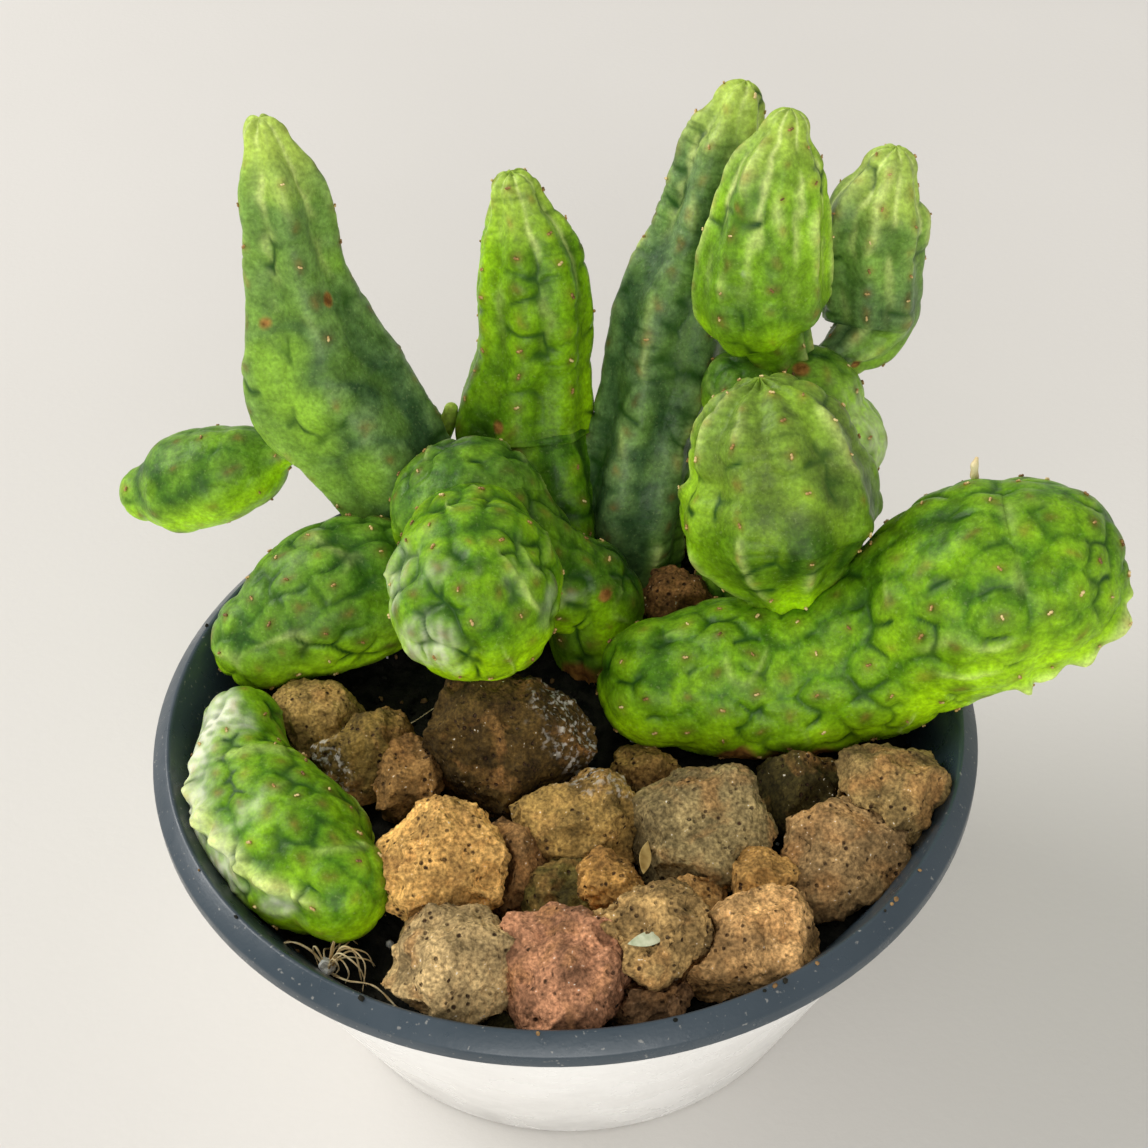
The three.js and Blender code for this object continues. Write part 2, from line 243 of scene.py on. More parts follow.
grow_pot = turned([
    (0.0380, 0.0054), (0.06055, 0.0504), (0.06055, 0.0513), (0.0636, 0.0513), (0.0636, 0.0504),
    (0.06499, 0.0504), (0.06499, 0.0527), (0.0625, 0.0550), (0.06195, 0.0548), (0.05935, 0.0504),
    (0.0368, 0.0070),
], 160)
soften(grow_pot, 0.00032, 3, 18)
bpy.ops.object.select_all(action="DESELECT")
bpy.ops.mesh.primitive_cylinder_add(vertices=32, radius=0.0035, depth=0.006, location=(0.024, 0, 0.0062))
drain = bpy.context.object
for hole in range(5):
    bpy.ops.object.select_all(action="DESELECT")
    turn = hole / 5 * 2 * math.pi
    drain.location = (0.024 * math.cos(turn), 0.024 * math.sin(turn), 0.0062)
    select_only(grow_pot)
    bpy.ops.object.modifier_add(type="BOOLEAN")
    cut = grow_pot.modifiers[-1]
    cut.operation = "DIFFERENCE"
    cut.object = drain
    bpy.ops.object.modifier_apply(modifier=cut.name)
bpy.data.objects.remove(drain, do_unlink=True)
settle(grow_pot, "slate_grow_pot", "grow_pot", "grow_pot", slate)

# ---------------------------------------------------------------- stems
# The stems are living succulent tissue: a smooth waxy skin over swollen tubercles, each with a tan
# scar where a leaf or flower stalk was. Fine creases part the tubercles, painted dark as painted shade;
# the young tips are pale and ribbed, and the oldest skin at the foot has turned to orange-brown bark.
# Downward-facing skin and the listed glow spots are painted a bright yellow-green: painted light from
# below and through the flesh. Cream patches and the lighter ridge crests are painted highlights.
MM = 0.001


def skin(name, deep, middle, bright, painted_glow):
    material, tree, shader = new_material(name, 0.45, 0.14)
    place = place_of(tree)

    def masks(attribute):
        reader = tree.nodes.new("ShaderNodeAttribute")
        reader.attribute_name = attribute
        split = tree.nodes.new("ShaderNodeSeparateColor")
        tree.links.new(reader.outputs["Color"], split.inputs["Color"])
        return [*split.outputs, reader.outputs["Alpha"]]

    painted_crease_shade, halo, painted_highlights, bark = masks("marks_and_painted_light")
    tip, stripe, under, rise = masks("growth_and_painted_light")
    height = over(tree, 0.36, grain(tree, place, 260, 5, 0.3), rise)
    flesh = steps(tree, height, (0.27, deep), (0.45, middle), (0.66, bright))
    # Downward-facing skin takes the glow colour: painted light from below and through the flesh.
    flesh = over(tree, under, flesh, painted_glow)
    flesh = over(tree, halo, flesh, deep)
    flesh = over(tree, tip, flesh, (0.50, 0.66, 0.10))
    # The stripe mask also carries the painted highlights on ridge crests and frills.
    flesh = over(tree, stripe, flesh, (0.66, 0.78, 0.25))
    mottle = steps(tree, grain(tree, place, 520, 4), (0.35, 0.80), (0.65, 1.17))
    flesh = over(tree, 0.75, flesh, mottle, "MULTIPLY")
    cells = steps(tree, grain(tree, place, 1500, 4), (0.32, 0.72), (0.68, 1.26))
    flesh = over(tree, 0.8, flesh, cells, "MULTIPLY")
    frost = steps(tree, grain(tree, place, 1900, 3), (0.60, 0.0), (0.72, 0.12))
    flesh = over(tree, frost, flesh, (0.55, 0.70, 0.25))
    # Cream patches are painted highlights.
    flesh = over(tree, painted_highlights, flesh, (0.84, 0.86, 0.66))
    # Creases are painted near-black: painted shade.
    flesh = over(tree, painted_crease_shade, flesh, (0.016, 0.062, 0.006))
    cork = steps(tree, grain(tree, place, 700, 5), (0.35, (0.14, 0.055, 0.010)), (0.65, (0.42, 0.20, 0.045)))
    flesh = over(tree, bark, flesh, cork)
    tree.links.new(flesh, shader.inputs["Base Color"])
    wax = steps(tree, grain(tree, place, 330, 4), (0.3, 0.30), (0.7, 0.50))
    tree.links.new(over(tree, bark, wax, (0.7, 0.7, 0.7)), shader.inputs["Roughness"])
    fine = raised(tree, grain(tree, place, 2600, 2), 0.00005)
    puckers = raised(tree, grain(tree, place, 560, 6), 0.00020, fine)
    tree.links.new(puckers, shader.inputs["Normal"])
    shader.inputs["Subsurface Weight"].default_value = 0.15
    shader.inputs["Subsurface Radius"].default_value = (0.9, 1.0, 0.25)
    shader.inputs["Subsurface Scale"].default_value = 0.0009
    shader.inputs["Coat Weight"].default_value = 0.03
    shader.inputs["Coat Roughness"].default_value = 0.28
    return material


# Each skin's last colour is its painted glow, for downward-facing skin.
skin_bright = skin("stem_skin_bright", (0.030, 0.096, 0.004), (0.078, 0.205, 0.004), (0.180, 0.360, 0.010),
                   (0.400, 0.720, 0.004))
skin_green = skin("stem_skin_green", (0.028, 0.090, 0.010), (0.070, 0.176, 0.012), (0.155, 0.310, 0.026),
                  (0.370, 0.680, 0.008))
skin_dull = skin("stem_skin_dull", (0.034, 0.082, 0.026), (0.074, 0.146, 0.046), (0.145, 0.245, 0.080),
                 (0.260, 0.480, 0.035))
skin_dark = skin("stem_skin_dark", (0.018, 0.060, 0.004), (0.040, 0.110, 0.005), (0.096, 0.205, 0.012),
                 (0.360, 0.680, 0.004))

scar, tree, shader = new_material("leaf_scar", 0.55, 0.5)
place = place_of(tree)
tan = steps(tree, grain(tree, place, 480, 3),
            (0.34, (0.13, 0.060, 0.012)), (0.50, (0.38, 0.22, 0.055)), (0.64, (0.74, 0.58, 0.26)))
tree.links.new(tan, shader.inputs["Base Color"])
tree.links.new(raised(tree, grain(tree, place, 2500, 2), 0.00008), shader.inputs["Normal"])


def ripple(points, size, seed):
    """Smooth seeded waves of about the given size, from -1 to 1."""
    random = np.random.default_rng(seed)
    total = np.zeros(len(points))
    for _ in range(7):
        heading = random.normal(size=3)
        heading *= 2 * math.pi / size * random.uniform(0.6, 1.35) / np.linalg.norm(heading)
        total += np.sin(points @ heading + random.uniform(0, 2 * math.pi))
    return total / 3.2


def ease(value, low, high):
    share = np.clip((value - low) / (high - low), 0, 1)
    return share * share * (3 - 2 * share)


def along(points, where, carry_on):
    """A smooth curve through the points, at each place counted in points. It carries on straight
    past its ends, or else levels off there."""
    points = np.asarray(points, float)
    before = 2 * points[:1] - points[1:2] if carry_on else points[:1]
    after = 2 * points[-1:] - points[-2:-1] if carry_on else points[-1:]
    rail = np.concatenate([before, points, after])
    span = np.minimum(where.astype(int), len(points) - 2)
    f = (where - span).reshape(-1, *[1] * (points.ndim - 1))
    a, b, c, d = (rail[span + i] for i in range(4))
    lead, trail = (c - a) / 2, (d - b) / 2
    return b + lead * f + (3 * (c - b) - 2 * lead - trail) * f ** 2 + (2 * (b - c) + lead + trail) * f ** 3


def draw_out(route, around, spacing):
    """A sphere drawn out along a route of x, y, z and radius in millimetres, with both ends round.
    Gives the object and, for each of its vertices, its place, outward direction, distance along,
    turn about the route, radius and the route's direction."""
    route = np.asarray(route, float)
    fine = np.linspace(0, len(route) - 1, 600)
    rail = along(route[:, :3], fine, True)
    walked = np.concatenate([[0], np.cumsum(np.linalg.norm(np.diff(rail, axis=0), axis=1))])
    end, start = route[-1, 3], route[0, 3]
    quarter = math.pi / 2
    total = quarter * end + walked[-1] + quarter * start
    rings = max(8, round(total / spacing))
    bpy.ops.object.select_all(action="DESELECT")
    bpy.ops.mesh.primitive_uv_sphere_add(segments=around, ring_count=rings, radius=1)
    piece = bpy.context.object
    count = len(piece.data.vertices)
    ball = np.empty(count * 3, np.float32)
    piece.data.vertices.foreach_get("co", ball)
    ball = ball.reshape(-1, 3).astype(float)
    row = np.rint(np.arccos(np.clip(ball[:, 2], -1, 1)) / math.pi * rings).astype(int)
    turn = np.arctan2(ball[:, 1], ball[:, 0])
    down = np.linspace(0, total, rings + 1)
    from_start = total - down - quarter * start
    place = np.interp(np.clip(from_start, 0, walked[-1]), walked, fine)
    centre = along(route[:, :3], place, True)
    girth = along(route[:, 3], place, False)
    nudge = 1e-3
    heading = (along(route[:, :3], np.minimum(place + nudge, len(route) - 1), True)
               - along(route[:, :3], np.maximum(place - nudge, 0), True))
    heading /= np.linalg.norm(heading, axis=1)[:, None]
    over_end = np.clip(from_start - walked[-1], 0, None) / end - np.clip(-from_start, 0, None) / start
    across = np.empty_like(heading)
    arm = np.array([1.0, 0.0, 0.0])
    for i, direction in enumerate(heading):
        arm = arm - arm @ direction * direction
        arm /= np.linalg.norm(arm)
        across[i] = arm
    side = np.cross(heading, across)
    centre = centre + heading * (girth * np.sin(over_end))[:, None]
    spread = girth * np.cos(over_end)
    out = across[row] * np.cos(turn)[:, None] + side[row] * np.sin(turn)[:, None]
    points = centre[row] + out * spread[row][:, None]
    outward = out * np.cos(over_end)[row][:, None] + heading[row] * np.sin(over_end)[row][:, None]
    return piece, dict(points=points, outward=outward, run=from_start[row], turn=turn, girth=girth[row],
                       spread=spread[row], heading=heading[row], length=walked[-1])


def shape(piece, points):
    piece.data.vertices.foreach_set("co", (points * MM).astype(np.float32).ravel())
    piece.data.update()


def scar_grain():
    """One leaf scar: two small grains of corky tissue, side by side."""
    bpy.ops.object.select_all(action="DESELECT")
    bpy.ops.mesh.primitive_ico_sphere_add(subdivisions=1, radius=1)
    grains = bpy.context.object
    ball = np.array([v.co for v in grains.data.vertices])
    faces = [tuple(p.vertices) for p in grains.data.polygons]
    bpy.data.objects.remove(grains, do_unlink=True)
    corners = np.concatenate([ball * (0.62, 0.40, 0.42) + (0.25, 0.1, 0.0),
                              ball * (0.45, 0.36, 0.36) + (-0.38, -0.12, 0.02)])
    return corners, faces + [tuple(i + len(ball) for i in face) for face in faces]


grain_corners, grain_faces = scar_grain()
skins = {"bright": skin_bright, "green": skin_green, "dull": skin_dull, "dark": skin_dark}


def grow_stem(name, routes, look, scars=(), painted_highlights=(), bark=(),
              ribs=0, pitch=5.6, mound=0.55, furrow=0.45, rib=0.0, wrinkle=0.0, stripe=0.0, tip=0.0,
              crease_depth=0.5, scar_size=0.72, lumps=0.35, seed=1, grains=True,
              frill=None, creased=0.0, ridged=0.0, keep=0.6, looks=None, ridge_light=0.6, painted_glow=()):
    """A stem drawn out along its routes, then swollen and creased, with its skin's masks painted on.
    Scars, painted highlight patches, painted glow patches and bark are spots: a place, a reach and, for
    some, an amount. Creased and ridged are the shares of seams that are deep creases, painted dark as
    painted shade, and of skin with ridges whose crests carry painted highlights."""
    pieces, parts = [], []
    for route in routes:
        widest = max(point[3] for point in route)
        piece, part = draw_out([(x, y, z + 43, r) for x, y, z, r in route],
                               int(np.clip(2 * math.pi * widest / 0.40, 32, 232)), 0.42)
        pieces.append(piece)
        parts.append(part)
    data = {key: np.concatenate([part[key] for part in parts]) for key in
            ("points", "outward", "run", "turn", "girth", "spread", "heading")}
    points, outward = data["points"], data["outward"]
    to_tip = np.concatenate([part["length"] - part["run"] for part in parts])
    random = np.random.default_rng(seed)

    chosen = []
    if pitch:
        offset = 0
        for part in parts:
            low, high = part["run"].min(), part["run"].max()
            row, reach = 0, low + 0.4 * pitch
            while reach < high:
                ring = np.abs(part["run"] - reach) < 0.3
                width = part["spread"][ring].max() if ring.any() else 0
                if width > 1.6:
                    columns = ribs if ribs else max(1, round(2 * math.pi * width / pitch))
                    for column in range(columns):
                        slip = 0 if ribs else 0.5 * (row % 2) + 0.13 * row
                        angle = (column + slip) / columns * 2 * math.pi + random.normal(0, 0.25 / columns)
                        shift = 0.5 * pitch * (column % 2) if ribs else random.normal(0, 0.12 * pitch)
                        round_miss = np.abs(np.angle(np.exp(1j * (part["turn"] - angle)))) * width
                        miss = round_miss + np.abs(part["run"] - reach - shift)
                        spot = offset + int(np.argmin(miss))
                        if all(np.linalg.norm(points[spot] - points[i]) > 0.72 * pitch for i in chosen):
                            chosen.append(spot)
                row += 1
                reach += pitch * (1.0 if ribs else 0.87)
            offset += len(part["run"])
    bent = points + 0.7 * np.stack([ripple(points, 6, seed + layer) for layer in (71, 72, 73)], 1)
    first = np.full(len(points), 30.0)
    second = first.copy()
    for spot in chosen:
        away = bent - bent[spot]
        lengthways = away @ data["heading"][spot]
        distance = np.sqrt(np.maximum((away ** 2).sum(1) - 0.35 * lengthways ** 2, 0))
        second = np.minimum(second, np.maximum(first, distance))
        first = np.minimum(first, distance)

    swell = ripple(points, 15, seed)
    patch = ripple(points, 9, seed + 50)
    gate = ease(ripple(points, 12, seed + 90), -0.15, 0.8)
    seam = np.exp(-((second - first) / 0.85) ** 2) * gate
    dome = 1 - np.minimum(first / (0.65 * max(pitch, 1)), 1) ** 2
    rise = mound * dome - furrow * seam + lumps * swell + 0.07 * ripple(points, 6, seed + 7)
    if ribs:
        rise += rib * np.cos(ribs * data["turn"]) * ease(data["girth"], 2, 6)
    folds = np.clip(np.sin(data["run"] * 2 * math.pi / 2.6 + 2.2 * ripple(points, 11, seed + 3)), 0, 1) ** 3
    folds *= ease(ripple(points, 13, seed + 31), -0.2, 0.6)
    rise -= wrinkle * folds
    # Seams and transverse folds are painted dark: painted shade in their hollows.
    dark = np.maximum(0.42 * seam * min(1, furrow / 0.4), 0.55 * folds * min(1, wrinkle / 0.25))
    # Deep creases follow some of the seams between tubercles. They are carved, and painted dark as painted
    # shade.
    gap = 0.55 * (second - first)
    cut = ease(ripple(points, 10, seed + 81), 1.0 - 1.7 * creased, 1.5 - 1.7 * creased)
    rise -= cut * crease_depth * (0.45 * np.exp(-(gap / 0.6) ** 2) + 0.3 * np.exp(-(gap / 1.8) ** 2))
    painted_crease_line = np.exp(-(gap / 0.44) ** 2) * (0.62 + 0.20 * patch + 0.18 * ripple(points, 4.0, seed + 63))
    dark = np.maximum(dark, cut * (painted_crease_line + 0.16 * np.exp(-(gap / 1.5) ** 2)))
    # Raised ridges run along the ribs' crests, or wander over a stem without ribs. Their crests are painted
    # lighter: painted highlights.
    if ribs:
        crest = np.abs(np.angle(np.exp(1j * (ribs * data["turn"] + 0.5 * patch)))) / ribs * data["spread"]
    else:
        crest = 9.0 * np.abs(ripple(points, 13, seed + 84))
    ridge_gate = ease(ripple(points, 14, seed + 85), 0.9 - 1.8 * ridged, 1.6 - 1.8 * ridged)
    crest = np.exp(-(crest / 0.9) ** 2) * ridge_gate
    rise += 0.5 * crest * min(1, 2 * ridged)
    painted_ridge_highlight = ridge_light * crest * (0.7 + 0.35 * patch) * min(1, 2 * ridged)
    if frill:
        # A wavy frill of dry skin runs along one side, from one share of the length to another. Its crest is
        # painted lighter: a painted highlight.
        side, start_share, stop_share = frill
        heading = data["heading"]
        across = np.array(side) - (heading @ np.array(side))[:, None] * heading
        across /= np.linalg.norm(across, axis=1)[:, None]
        level = outward - (outward * heading).sum(1)[:, None] * heading
        level /= np.maximum(np.linalg.norm(level, axis=1), 1e-6)[:, None]
        gap = np.arccos(np.clip((across * level).sum(1), -1, 1)) * data["spread"] + 0.8 * patch
        share = data["run"] / data["run"].max()
        within = ease(share, start_share, start_share + 0.08) * ease(-share, -stop_share, 0.08 - stop_share)
        wave = 0.5 + 0.5 * np.sin(data["run"] * 2 * math.pi / 5.5 + 1.3 * patch)
        rise += within * (0.5 + 1.5 * wave) * np.exp(-(gap / 1.3) ** 2)
        painted_ridge_highlight = np.maximum(painted_ridge_highlight, within * np.exp(-(gap / 1.2) ** 2) * (0.55 + 0.4 * wave))
    # Cream patches at the listed spots are painted highlights.
    painted_highlight_mask = np.zeros(len(points))
    for x, y, z, reach, amount in painted_highlights:
        near = np.linalg.norm(points - (x, y, z), axis=1) + 1.4 * patch + 0.9 * ripple(points, 3.0, seed + 61)
        streaks = 0.5 + 0.5 * ease(ripple(points * (1, 1, 0.5), 2.0, seed + 62), -0.6, 0.5)
        painted_highlight_mask = np.maximum(painted_highlight_mask, amount * streaks * ease(-near, -1.2 * reach, 0))
    cork = 0.34 * np.exp(-(first / 0.75) ** 2) * (1 if grains else 0)
    for x, y, z, reach in [*scars, *bark]:
        near = np.linalg.norm(points - (x, y, z), axis=1) + 0.12 * reach * patch
        cork = np.maximum(cork, ease(-near, -reach, -0.55 * reach))
    rise -= rise.mean() + 0.02 * data["girth"]
    final = points + outward * rise[:, None]
    low, high = (np.array(corner) / MM for corner in cad_box)
    final = np.clip(final, low + 0.05, high - 0.05)

    jag = 0.45 * ripple(points, 4.5, seed + 64)
    between = (0.5 - 0.5 * np.cos((ribs or 7) * data["turn"] + jag)) ** 9
    streak = stripe * between * ease(-to_tip, -30, -3) * ease(patch, -0.9, 0.3)
    top = tip * ease(-to_tip + 2 * patch, -10, 0)
    # Downward-facing skin and the listed glow spots get the bright glow colour: painted light from below and
    # through the flesh.
    painted_glow_mask = 0.92 * ease(-outward[:, 2], -0.36, 0.40) + 0.2 * ease(patch, 0.1, 1.1)
    for x, y, z, reach, amount in painted_glow:
        near = np.linalg.norm(points - (x, y, z), axis=1) + 1.4 * patch
        painted_glow_mask = np.maximum(painted_glow_mask, amount * ease(-near, -reach, -0.15 * reach))
    halo = 0.75 * np.exp(-(first / 1.6) ** 2) * ease(swell, -0.7, 0.5)
    painted = {
        "marks_and_painted_light": (np.clip(dark, 0, 1), halo, np.clip(painted_highlight_mask, 0, 1), np.clip(cork, 0, 1)),
        "growth_and_painted_light": (top, np.clip(np.maximum(streak, painted_ridge_highlight), 0, 1), np.clip(painted_glow_mask, 0, 1), dome),
    }
    start, shaped = 0, []
    for piece, part in zip(pieces, parts):
        stop = start + len(part["run"])
        shape(piece, final[start:stop])
        for attribute, channels in painted.items():
            layer = piece.data.color_attributes.new(attribute, "FLOAT_COLOR", "POINT")
            layer.data.foreach_set("color", np.stack(channels, 1)[start:stop].astype(np.float32).ravel())
        for face in piece.data.polygons:
            face.use_smooth = True
        piece.data.materials.append(skins[(looks or [look] * len(routes))[len(shaped)]])
        shaped.append(piece)
        start = stop
    if grains:
        corners, faces = [], []
        for spot in chosen:
            if random.random() > keep:
                continue
            up = outward[spot]
            run = data["heading"][spot] - data["heading"][spot] @ up * up
            run = run / max(np.linalg.norm(run), 1e-6)
            lean = random.uniform(0, math.pi)
            east = run * math.cos(lean) + np.cross(up, run) * math.sin(lean)
            size = scar_size * random.uniform(0.62, 1.0)
            turned_grain = grain_corners @ np.stack([east, np.cross(up, east), up]) * size
            faces += [tuple(i + len(corners) * len(grain_corners) for i in face) for face in grain_faces]
            corners.append(turned_grain + final[spot] + up * 0.12)
        tufts = bpy.data.meshes.new("scars")
        corners = np.clip(np.concatenate(corners), low + 0.05, high - 0.05)
        tufts.from_pydata((corners * MM).tolist(), [], faces)
        for face in tufts.polygons:
            face.use_smooth = True
        tuft_piece = bpy.data.objects.new("scars", tufts)
        bpy.context.collection.objects.link(tuft_piece)
        tufts.materials.append(scar)
        pieces.append(tuft_piece)
    select_only(pieces[0])
    for other in pieces[1:]:
        other.select_set(True)
    if len(pieces) > 1:
        bpy.ops.object.join()
    grown = bpy.context.view_layer.objects.active
    settle(grown, name.replace("stem_", "green_"), name, "bud" if name == "stem_bud" else "stem")
    return grown


# In the stems below, the pale spots are painted highlights and the glow spots are painted light.
# The front stem rises from the middle of the bed, arches back and bends forward into a round head. Its
# crown faces forward: a rosette of swollen tubercles parted by deep furrows.
grow_stem(
    "stem_front",
    [
        [(7, 20, -8, 7), (6, 23, 4, 8), (5, 25, 12.5, 8.8), (-1, 24, 18, 8.8), (-12, 26, 27, 11.5)],
        [(-12, 27, 18, 10), (-14, 28.5, 27.3, 13.2)],
        [(-13.5, 17, 29, 11.5), (-13, 10.5, 29.5, 13.9), (-13, 5.5, 29.5, 13.3)],
    ],
    "bright", looks=["dark", "green", "bright"], pitch=5.4, mound=0.3, furrow=0.12, lumps=0.25,
    crease_depth=0.95,
    wrinkle=0.05, keep=0.5, seed=11,
    creased=0.62, ridged=0.4,
    scars=[(7.4, 18.1, 60.8, 1.5)],
    bark=[(2.8, 15.8, 44, 4.5), (9, 13, 44, 5)],
    painted_glow=[(9, 15, 53, 9, 1.0), (5, 15, 60, 5, 0.5)],
    painted_highlights=[(-19, -6, 73.5, 6, 0.6), (-22.5, -3.5, 72, 5, 0.6), (-26.5, 5, 76, 6, 0.6),
          (-12, -3, 88, 5, 0.3), (-4, -4, 84, 5, 0.3), (-20, -2, 86, 5, 0.4), (-1, 0, 76, 5, 0.25),
          (-24, 6, 81, 4, 0.4), (2.7, 16.3, 62, 2.2, 0.25)],
)

# The low right stem lies on the bed and climbs over the rim. A dry flower stalk stands near its end.
grow_stem(
    "stem_right_low",
    [[(16, 4, 11, 10.6), (25, 4, 11, 13), (37, 4, 11.5, 13.6), (50, 4, 16.5, 14.2), (60, 4, 25, 16),
      (67, 3, 30, 16.6), (72, 2.5, 32, 15)]],
    "bright", pitch=6.4, mound=0.42, furrow=0.12, crease_depth=0.6, wrinkle=0.05, keep=0.7, seed=22,
    creased=0.6, ridged=0.35,
    frill=((0, -0.75, -0.65), 0.6, 0.96),
    bark=[(26.7, -7.5, 47.2, 4.5), (33.6, -7.6, 46.8, 4.5), (40, -8, 47.5, 3.6), (30, -7, 44, 6)],
)


def thread(route, around=7, spacing=0.5):
    """A dry fibre or stalk drawn out along its route, with a wavering thickness."""
    piece, part = draw_out(route, around, spacing)
    wobble = 1 + 0.22 * ripple(part["points"], 2.2, 301)
    radial = part["outward"] * (part["spread"] * (wobble - 1))[:, None]
    shape(piece, part["points"] + radial)
    for face in piece.data.polygons:
        face.use_smooth = True
    return piece


fibre, tree, shader = new_material("dry_fibre", 0.7, 0.2)
place = place_of(tree)
tree.links.new(steps(tree, grain(tree, place, 500, 4), (0.3, (0.62, 0.40, 0.15)), (0.7, (0.95, 0.82, 0.52))),
               shader.inputs["Base Color"])
tree.links.new(raised(tree, grain(tree, place, 1800, 3), 0.0001), shader.inputs["Normal"])
stalk = thread([(65.2, 15.1, 81.5, 0.75), (65.3, 15.2, 84, 0.62),
                (65.0, 15.4, 86, 0.7), (65.2, 15.6, 87.6, 0.35)], 12, 0.3)
settle(stalk, "dry_flower_stalk", "stem_right_low", "stem", fibre)

# The round head sits on the low stem's back. Ribs run down from its apex, their crests painted as light
# lines: painted highlights.
grow_stem(
    "stem_round_head",
    [[(38, 9, 21, 6), (37, 12, 26, 10), (35.5, 15, 33, 15.4), (35, 17, 40, 15.2), (34.3, 18.5, 44, 13)]],
    "dark", ridge_light=0.6, pitch=5.6, ribs=9, rib=0.4, mound=0.5, furrow=0.12, lumps=0.15, crease_depth=0.3,
    wrinkle=0.12, tip=0.2, stripe=0.0, keep=0.6, seed=33,
    creased=0.55, ridged=0.45,
    painted_glow=[(37, 3, 68, 11, 0.9)],
    scars=[(28, 6.1, 87, 1.3)],
)

# The centre stem leans back a little and tapers to a blunt, ribbed tip.
grow_stem(
    "stem_centre",
    [[(2, 34, -8, 8), (0, 40, 6, 9), (-2.5, 48, 19, 10), (-4.7, 54, 25, 12.3), (-2.5, 57, 39, 9.8),
      (-2, 59, 51.5, 9.6), (-3, 61, 61, 7.2), (-4, 62, 67.3, 4)]],
    "bright", pitch=5.2, ribs=7, rib=0.45, mound=0.25, furrow=0.08, crease_depth=0.42, wrinkle=0.14, keep=0.5,
    stripe=0.7, tip=0.5, scar_size=0.8, seed=44,
    creased=0.5, ridged=0.2,
    scars=[(-9, 45.5, 75.2, 1.6)],
)

# The tall left stem leans out to the left, with a waist below its tapered top. A small round offset
# hangs from its outer side by a thin neck.
grow_stem(
    "stem_left_tall",
    [[(-14, 34, -8, 8), (-19, 38, 8, 9), (-26, 43, 22, 10.5), (-32.5, 47, 33, 12.4), (-38, 50, 41.5, 13.4),
      (-40.5, 53, 56, 9.1), (-41, 54, 65, 7.4), (-41.5, 55, 75, 6.4), (-42.5, 56, 82.5, 3.6)]],
    "dull", ridge_light=0.25, pitch=6.5, ribs=5, rib=0.8, mound=0.3, furrow=0.06, crease_depth=0.28,
    wrinkle=0.08, keep=0.25,
    stripe=0.6, tip=0.75, scar_size=0.7, seed=55,
    creased=0.35, ridged=0.5,
    scars=[(-44.8, 45.5, 98.5, 1.7), (-34.5, 46.5, 101.5, 1.5)],
    painted_glow=[(-45, 41, 92, 10, 0.8), (-40, 38, 84, 10, 1.0), (-30, 36, 74, 8, 0.7)],
)
grow_stem(
    "stem_left_offset",
    [[(-38, 48, 29, 2.6), (-46, 50, 25.5, 2.3), (-51, 51, 23, 6.4), (-59, 52, 20, 9), (-67, 53, 17, 8.5),
      (-73, 54, 15, 5)]],
    "green", pitch=6.5, mound=0.35, furrow=0.05, wrinkle=0.05, lumps=0.3, scar_size=0.7, keep=0.3, seed=66,
)

# The tall right stem stands behind the others and leans right.
grow_stem(
    "stem_right_tall",
    [[(12, 40, -8, 8), (13, 45, 8, 9.2), (15.5, 50, 21, 10), (19.5, 56, 33, 10), (22.3, 61, 45, 10.2),
      (26.3, 64, 53.5, 9), (28.5, 66, 61, 8.2), (31, 68, 71, 7), (33, 69, 78, 4)]],
    "dull", pitch=5.8, ribs=6, rib=0.6, mound=0.35, furrow=0.1, crease_depth=0.35, wrinkle=0.24, keep=0.25,
    stripe=0.6, tip=0.75, scar_size=0.7, seed=77,
    creased=0.4, ridged=0.45,
)

# A stout stem at the back right carries two upright offsets on narrow necks.
grow_stem(
    "stem_right_parent",
    [[(30, 32, -8, 8), (33, 35, 4, 9), (37, 37, 14, 10), (41.5, 40, 23.5, 12), (43.3, 43, 30, 13.6),
      (43, 45, 35, 10)],
     [(39, 43, 29, 9), (33, 46, 37, 7.5)]],
    "green", pitch=6.2, mound=0.5, furrow=0.12, wrinkle=0.1, scar_size=0.7, keep=0.4, seed=88,
    creased=0.45, ridged=0.3,
    painted_highlights=[(54, 34, 76, 12, 0.45)],
    painted_glow=[(53, 35, 76, 17, 1.0)],
    scars=[(41.3, 41.9, 86.9, 1.8)],
)
grow_stem(
    "stem_right_upright",
    [[(41, 47, 39, 4), (37, 48, 48, 6.5), (35.5, 48, 52, 10.4), (35.5, 49, 58, 10.7), (36.5, 50, 69, 9.2),
      (37.5, 51, 77, 7.2), (38.5, 52, 82.5, 3.6)]],
    "green", pitch=4.6, ribs=8, rib=0.3, mound=0.25, furrow=0.05, crease_depth=0.35, wrinkle=0.05, keep=0.35,
    stripe=0.8, tip=0.55, scar_size=0.62, lumps=0.3, seed=99,
    creased=0.35, ridged=0.5,
    painted_glow=[(36.5, 39, 93, 9, 0.9)],
    painted_highlights=[(31.7, 40.8, 107.6, 1.1, 0.5)],
)
grow_stem(
    "stem_right_outer",
    [[(48, 52, 38.5, 3.2), (53.5, 55, 40.5, 5.6), (55, 57, 43.5, 8.2), (55, 59, 51.5, 8.4),
      (55.5, 60, 62, 8.1), (57, 61, 69, 4.5)]],
    "dull", pitch=4.8, ribs=7, rib=0.3, mound=0.35, furrow=0.08, wrinkle=0.08, stripe=0.7, tip=0.6,
    scar_size=0.6, keep=0.5, seed=110,
    creased=0.4, ridged=0.5,
    painted_glow=[(57, 51, 84, 7, 0.8)],
    scars=[(52.4, 49.9, 81.6, 1.2)],
)

